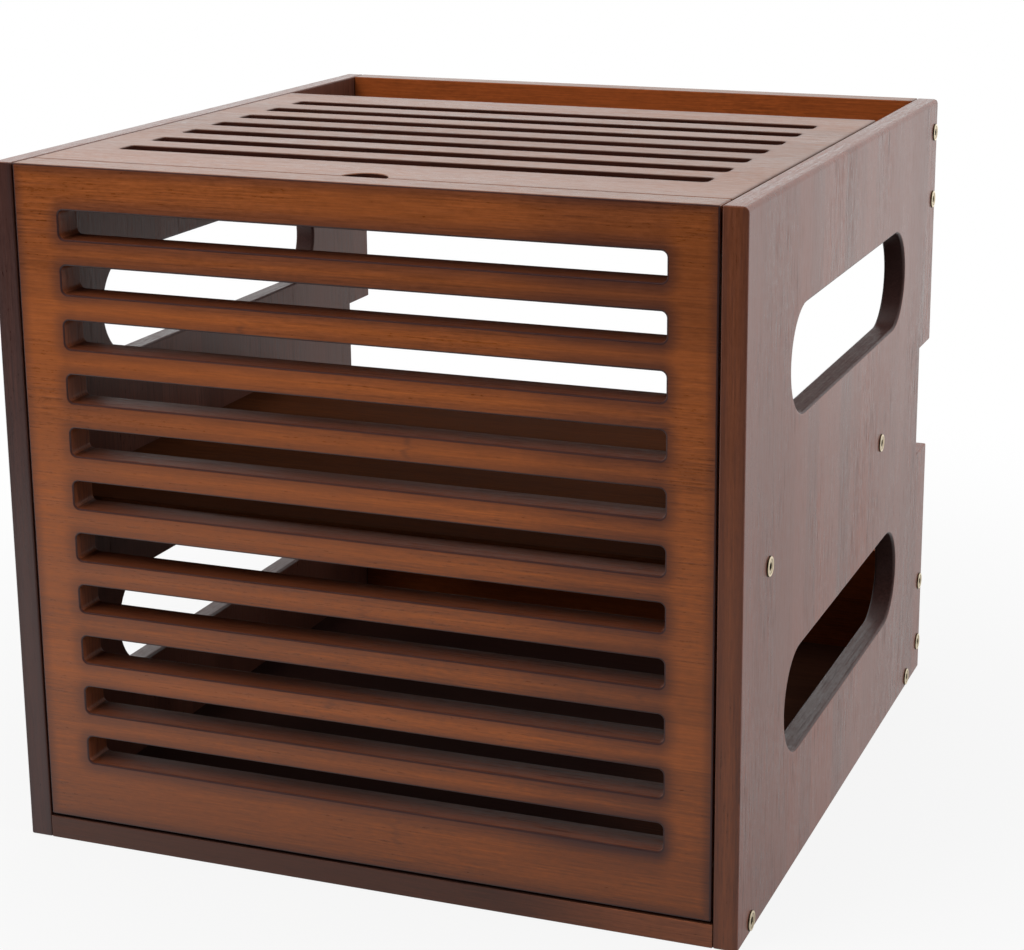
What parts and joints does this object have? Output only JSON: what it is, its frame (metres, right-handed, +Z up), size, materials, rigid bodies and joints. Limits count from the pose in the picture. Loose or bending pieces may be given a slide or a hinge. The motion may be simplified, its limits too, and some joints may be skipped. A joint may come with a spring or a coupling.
{
  "type": "router storage box",
  "caption": "Two-tier open-backed wooden box for a router and its power strip, with a slotted hinged lid, a slotted drop-down front and handle holes in both sides.",
  "frame": {"origin": "middle of the flat underside, where the case stands on the desk", "axes": "+Z up, -Y out of the slotted front, +X to the right as seen from the front"},
  "size_m": [0.3316, 0.34, 0.304],
  "materials": {
    "front_board": "satin walnut-stained bamboo",
    "side_board": "satin walnut-stained bamboo",
    "lid_board": "satin walnut-stained bamboo",
    "inner_board": "satin walnut-stained bamboo",
    "screw": "pale brass plate",
    "pin": "ground steel",
    "magnet": "bright plate"
  },
  "bodies": {
    "case": {"side_panel_left": "side_board", "side_panel_right": "side_board", "base_board": "front_board", "middle_shelf": "inner_board", "upper_rear_rail": "inner_board", "lower_rear_rail": "inner_board", "base_screws": "screw", "shelf_screws": "screw", "upper_rail_screws": "screw", "lower_rail_screws": "screw", "lid_pivot_pin_left": "pin", "lid_pivot_pin_right": "pin", "door_pivot_pin_left": "pin", "door_pivot_pin_right": "pin", "lid_rest_left": "inner_board", "lid_rest_right": "inner_board", "door_magnet_left": "magnet", "door_magnet_right": "magnet"},
    "lid": {"lid": "lid_board"},
    "door": {"front_door": "front_board", "door_keeper_left": "pin", "door_keeper_right": "pin"}
  },
  "joints": [
    {"name": "lid_hinge", "type": "hinge", "parent": "case", "child": "lid", "pos_m": [0, 0.0754, 0.29875], "axis": [-1, 0, 0], "range_deg": [0, 170]},
    {"name": "door_hinge", "type": "hinge", "parent": "case", "child": "door", "pos_m": [0, -0.1645, 0.0355], "axis": [1, 0, 0], "range_deg": [0, 95]}
  ]
}
